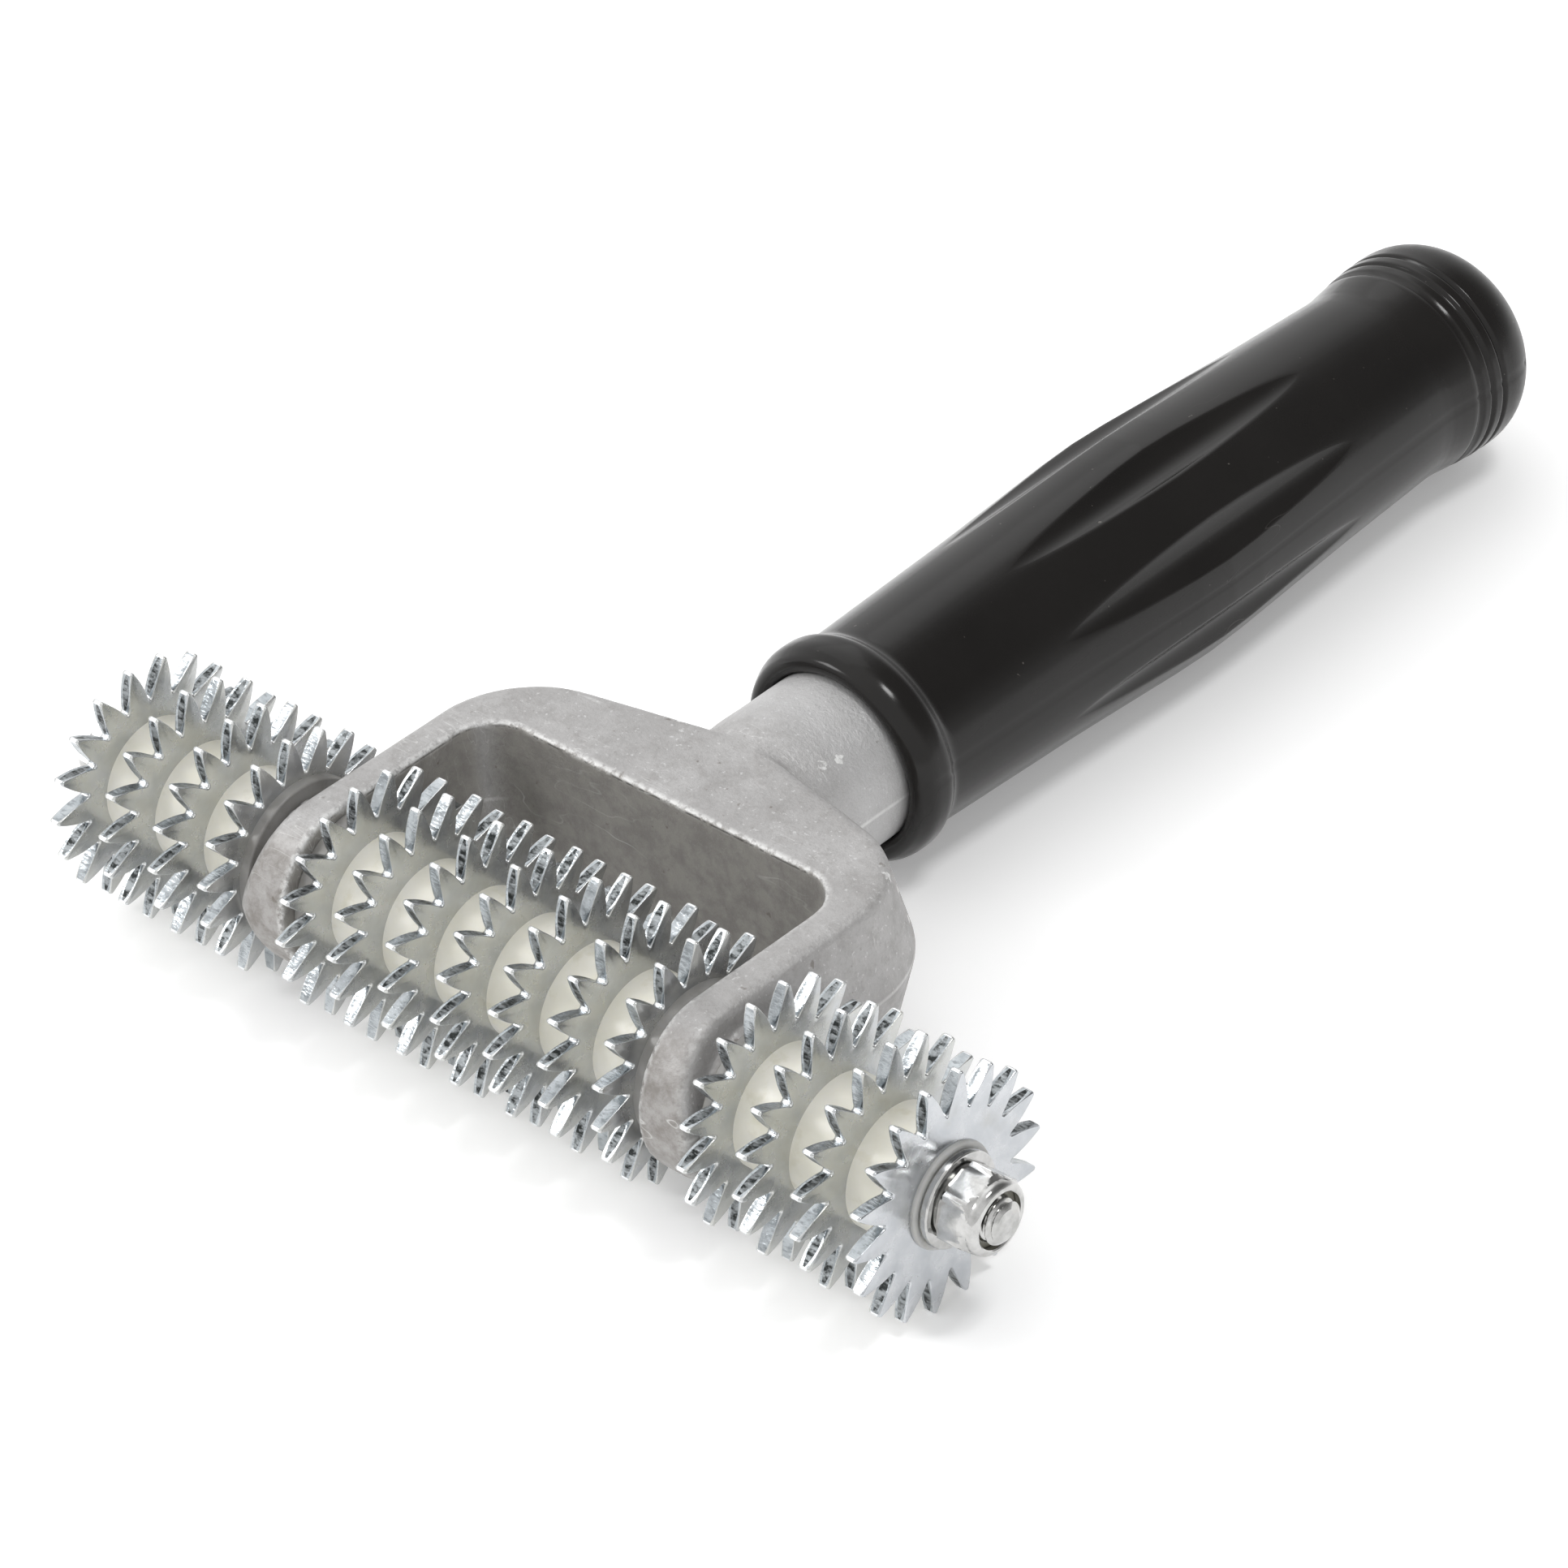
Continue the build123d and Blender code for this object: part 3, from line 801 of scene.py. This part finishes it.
def grip_stations():
    """The outline's own points with even ones between them, closer over the grooves."""
    outline = grip_outline()
    stations = []
    for a, b in zip(outline, outline[1:]):
        grooved = GROOVED_STRETCH[0] < a.y < GROOVED_STRETCH[1]
        step = GROOVED_STEP if grooved else PLAIN_STEP
        steps = max(1, math.ceil((b - a).length / step))
        stations += [a.lerp(b, k / steps) for k in range(steps)]
    return stations + [outline[-1]]


def flute_edge(base):
    """Half angle over which a flute's cutter reaches below the given radius."""
    centre = FLUTE_FLOOR_R + FLUTE_CUTTER_R
    cosine = (centre ** 2 + base ** 2 - FLUTE_CUTTER_R ** 2) / (2 * centre * base)
    return math.acos(min(cosine, 1))


def fluted_radius(base, off):
    """Radius beside a flute's middle line, with the edge left slightly round."""
    centre = FLUTE_FLOOR_R + FLUTE_CUTTER_R
    reach = FLUTE_CUTTER_R ** 2 - (centre * math.sin(off)) ** 2
    if reach <= 0:
        return base
    floor_r = centre * math.cos(off) - math.sqrt(reach)
    return soft_min(base, floor_r, FLUTE_EDGE_ROUND)


def soft_min(a, b, width):
    """The smaller of two values, with the corner between them rounded over a width."""
    return (a + b - math.hypot(a - b, width)) / 2 + width / 4


def groove_depth(y):
    """Depth of the three turned grooves at a distance from the axle."""
    return sum(GROOVE_DEPTH * math.exp(-((y - centre) / GROOVE_WIDTH) ** 2) for centre in GROOVES)


def grip(material):
    """Rings about the handle, with points lying exactly on the edges of the flutes."""
    rings = [grip_ring(base, y) for base, y in grip_stations()]
    return ring_mesh("grip_moulding", rings, False, material, 60)


def grip_ring(base, y):
    """One ring of the grip, from its outline's radius at a distance from the axle."""
    half = math.pi / FLUTES
    fluted = FLUTE_SPAN[0] < y < FLUTE_SPAN[1]
    edge = max(flute_edge(base) if fluted else 0, LEAST_FLUTE_ANGLE)
    side = [edge * k / FLUTE_STEPS for k in range(FLUTE_STEPS)]
    side += [edge + (half - edge) * k / LAND_STEPS for k in range(LAND_STEPS)]
    offsets = [-half] + [-a for a in reversed(side[1:])] + side
    seamed = base > GRIP_CORNERS[1][0] - 0.1
    ring = []
    for i in range(FLUTES):
        for off in offsets:
            r = fluted_radius(base, off) if fluted else base
            r -= groove_depth(y)
            if seamed and off == -half and i % (FLUTES // 2) == 0:
                r -= SEAM_DEPTH
            a = GRIP_TURN + half * (2 * i + 1) + off
            along = GRIP_MOUTH + (y - GRIP_CORNERS[0][1]) * MM
            across = r * MM
            ring.append((AXLE.x + across * math.cos(a), along, AXLE.z + across * math.sin(a)))
    return ring


# ---- fork ----

# fine enough for the edges, and under the export's limit of triangles
FORK_VOXEL = 0.475 * MM
# unevenness of the cast skin: (waves per metre, height)
FORK_WAVES = [(60, 0.09), (260, 0.035)]


def fork_casting(material):
    """The casting with its edges and joins softened as a mould leaves them."""
    piece = add_to_scene("fork_casting", frame["nodes"]["fork"].data.copy())
    remesh = piece.modifiers.new("even_mesh", "REMESH")
    remesh.mode = "VOXEL"
    remesh.voxel_size = FORK_VOXEL
    smooth = piece.modifiers.new("soft_edges", "SMOOTH")
    smooth.factor = 0.5
    smooth.iterations = 2
    depsgraph = bpy.context.evaluated_depsgraph_get()
    baked = bpy.data.meshes.new_from_object(piece.evaluated_get(depsgraph))
    piece.modifiers.clear()
    piece.data = baked
    for v, n in [(v, v.normal.copy()) for v in baked.vertices]:
        wave = sum(noise.noise(v.co * rate) * height for rate, height in FORK_WAVES)
        v.co += n * wave * MM
    baked.materials.clear()
    baked.materials.append(material)
    baked.shade_smooth()
    return piece


# ---- stage ----

FLOOR_SIDE = 6.0
FLOOR_STEPS = 12
FLOOR_GLOW = 0.22
SKY_LIGHT = 0.88
SKY_BRIGHT = 1.12
SKY_DARK = 0.2
# directions of the sky's dark and bright patches, and the cosines between which each sets in
DARK_SIDE = (0.42, 0.62, 0.66)
DARK_FADE = (0.62, 0.96)
BRIGHT_SIDE = (-0.75, -0.1, 0.65)
BRIGHT_FADE = (0.45, 0.85)
# camera: the point that it looks at, from the axle's middle, and where it looks from
CAMERA_AIM = Vector((15.1, 31.9, 17.5)) * MM
CAMERA_DISTANCE = 821.8 * MM
CAMERA_AZIMUTH = math.radians(43.70)
CAMERA_ELEVATION = math.radians(35.89)
CAMERA_ROLL = math.radians(3.13)
CAMERA_LENS = 152.1
SENSOR_WIDTH = 36


def look_at(obj, target):
    obj.rotation_euler = (target - obj.location).to_track_quat("-Z", "Y").to_euler()


def softbox(name, place, target, side, power):
    """A square studio light at a place counted from its target."""
    light = bpy.data.lights.new(name, "AREA")
    light.shape = "RECTANGLE"
    light.size = light.size_y = side
    light.energy = power
    obj = add_to_scene(name, light)
    obj.location = target + Vector(place)
    look_at(obj, target)


def floor_material():
    m = Nodes("studio_floor")
    soft = m.noise(6, 2, 0.5)
    color = m.mix(soft, (0.90, 0.90, 0.90), (0.93, 0.93, 0.93))
    m.shader.inputs["Emission Color"].default_value = (1, 1, 1, 1)
    m.shader.inputs["Emission Strength"].default_value = FLOOR_GLOW
    return m.finish(color, m.ramp(soft, 0, 1, 0.8, 0.9), m.bump(soft, 0.01, 0.001))


def floor():
    side, steps = FLOOR_SIDE, FLOOR_STEPS
    verts, faces = [], []
    for j in range(steps + 1):
        for i in range(steps + 1):
            verts.append((side * (i / steps - 0.5), side * (j / steps - 0.5), 0))
    for j in range(steps):
        for i in range(steps):
            a = j * (steps + 1) + i
            faces.append((a, a + 1, a + steps + 2, a + steps + 1))
    mesh = bpy.data.meshes.new("studio_floor")
    mesh.from_pydata(verts, [], faces)
    mesh.materials.append(floor_material())
    add_to_scene("studio_floor", mesh)


def sky_sector(tree, way, fade, inside, outside):
    """Brightness that changes smoothly towards one direction of the sky."""
    coords = tree.nodes.new("ShaderNodeTexCoord")
    turned = tree.nodes.new("ShaderNodeVectorMath")
    turned.operation = "DOT_PRODUCT"
    turned.inputs[1].default_value = Vector(way).normalized()
    tree.links.new(coords.outputs["Generated"], turned.inputs[0])
    ramp = tree.nodes.new("ShaderNodeMapRange")
    ramp.interpolation_type = "SMOOTHSTEP"
    ramp.inputs["From Min"].default_value = fade[0]
    ramp.inputs["From Max"].default_value = fade[1]
    ramp.inputs["To Min"].default_value = outside
    ramp.inputs["To Max"].default_value = inside
    tree.links.new(turned.outputs["Value"], ramp.inputs["Value"])
    return ramp.outputs["Result"]


def world():
    """White studio all round, brighter on the left, with a dark side for the metal to reflect."""
    sky = bpy.data.worlds.new("studio")
    bpy.context.scene.world = sky
    sky.use_nodes = True
    tree = sky.node_tree
    dark = sky_sector(tree, DARK_SIDE, DARK_FADE, SKY_DARK / SKY_LIGHT, 1)
    bright = sky_sector(tree, BRIGHT_SIDE, BRIGHT_FADE, SKY_BRIGHT, SKY_LIGHT)
    both = tree.nodes.new("ShaderNodeMath")
    both.operation = "MULTIPLY"
    tree.links.new(dark, both.inputs[0])
    tree.links.new(bright, both.inputs[1])
    background = tree.nodes["Background"]
    background.inputs["Color"].default_value = (1, 1, 1, 1)
    tree.links.new(both.outputs["Value"], background.inputs["Strength"])


def camera():
    """Azimuth is counted from the wheels' side towards the nut, elevation from the floor."""
    level = Vector((math.cos(CAMERA_AZIMUTH), math.sin(CAMERA_AZIMUTH), 0))
    flat = Vector((math.sin(CAMERA_AZIMUTH), -math.cos(CAMERA_AZIMUTH), 0))
    away = flat * math.cos(CAMERA_ELEVATION) + Vector((0, 0, math.sin(CAMERA_ELEVATION)))
    upright = away.cross(level)
    right = level * math.cos(CAMERA_ROLL) - upright * math.sin(CAMERA_ROLL)
    up = upright * math.cos(CAMERA_ROLL) + level * math.sin(CAMERA_ROLL)
    data = bpy.data.cameras.new("camera")
    data.sensor_width = SENSOR_WIDTH
    data.lens = CAMERA_LENS
    data.clip_end = 20
    obj = add_to_scene("camera", data)
    turn = Matrix((right, up, away)).transposed().to_4x4()
    place = AXLE + CAMERA_AIM + away * CAMERA_DISTANCE
    obj.matrix_world = Matrix.Translation(place) @ turn
    bpy.context.scene.camera = obj


# ---- build ----

# rounding of the rings' edges
BUSH_EDGE = 0.4 * MM
RING_EDGE = 0.3 * MM
INSERT_EDGE = 0.15 * MM


def build_wheels():
    face, flank, torn, tip = zinc_face(), zinc_flank(), zinc_torn_and_shaded(), zinc_tip()
    for i, node in enumerate(WHEELS, 1):
        piece = star_wheel(node, i, face, flank, torn, tip)
        stand_for(piece, node, f"wheel_{i:02d}")


def build_nylon():
    """Cream bushes between the wheels, and grey rings beside the arms and at the ends; the dark
    grey of the arm rings and spacers is painted shade.
    """
    cream = nylon("natural_nylon", (0.70, 0.685, 0.60), (0.80, 0.785, 0.72), (0.52, 0.49, 0.35))
    # painted shade: the rings beside the arms and the spacers are painted dark grey for the shade
    # between wheel, arm and washer
    grey = nylon("shaded_grey_nylon", (0.20, 0.195, 0.185), (0.29, 0.285, 0.275), (0.1, 0.095, 0.085))
    pewter = nylon("polished_grey_nylon", (0.36, 0.36, 0.35), (0.46, 0.46, 0.45), (0.2, 0.2, 0.19))
    for i, node in enumerate(BUSHES, 1):
        material = cream
        if i == len(BUSHES):
            material = pewter
        elif is_arm_ring(node):
            material = grey
        piece = lathe_ring(f"bush_{i:02d}", node, BUSH_BORE_R, BUSH_EDGE, material)
        stand_for(piece, node, f"wheel_{i:02d}")
    for node in SPACERS:
        piece = lathe_ring(node + "_ring", node, BUSH_BORE_R, RING_EDGE, grey)
        stand_for(piece, node, "frame")


def build_hardware():
    """Washers, the lock nut with its nylon ring, and the bolt."""
    bright = bright_zinc()
    for node in WASHERS:
        piece = lathe_ring(node + "_disc", node, WASHER_HOLE_R, RING_EDGE, bright)
        stand_for(piece, node, "frame")
    # painted shade: the nut's nylon ring is painted dark brown for the shade in its recess
    recess_shaded = nylon("recess_shaded_nylon", (0.22, 0.21, 0.17), (0.33, 0.32, 0.27), (0.13, 0.12, 0.09))
    insert = lathe_ring("lock_nut_nylon", "lock_nut_insert", AXLE_R, INSERT_EDGE, recess_shaded)
    stand_for(insert, "lock_nut_insert", "frame")
    stand_for(lock_nut(bright), "lock_nut", "frame")
    stand_for(axle_bolt(bright), "axle_bolt", "frame")


def build_studio():
    centre = AXLE + Vector((0, 60, 0)) * MM
    floor()
    world()
    softbox("key", (-0.9, 0.5, 1.4), centre, 1.3, 2)
    softbox("glint", (-0.9, -0.9, 0.95), centre, 0.5, 6)
    softbox("top", (0.5, 0.1, 1.3), centre, 0.3, 5)
    camera()
    bpy.context.scene.view_settings.view_transform = "Standard"


build_wheels()
build_nylon()
build_hardware()
stand_for(grip(grip_plastic()), "grip", "frame")
stand_for(fork_casting(cast_aluminium()), "fork", "frame")
build_studio()
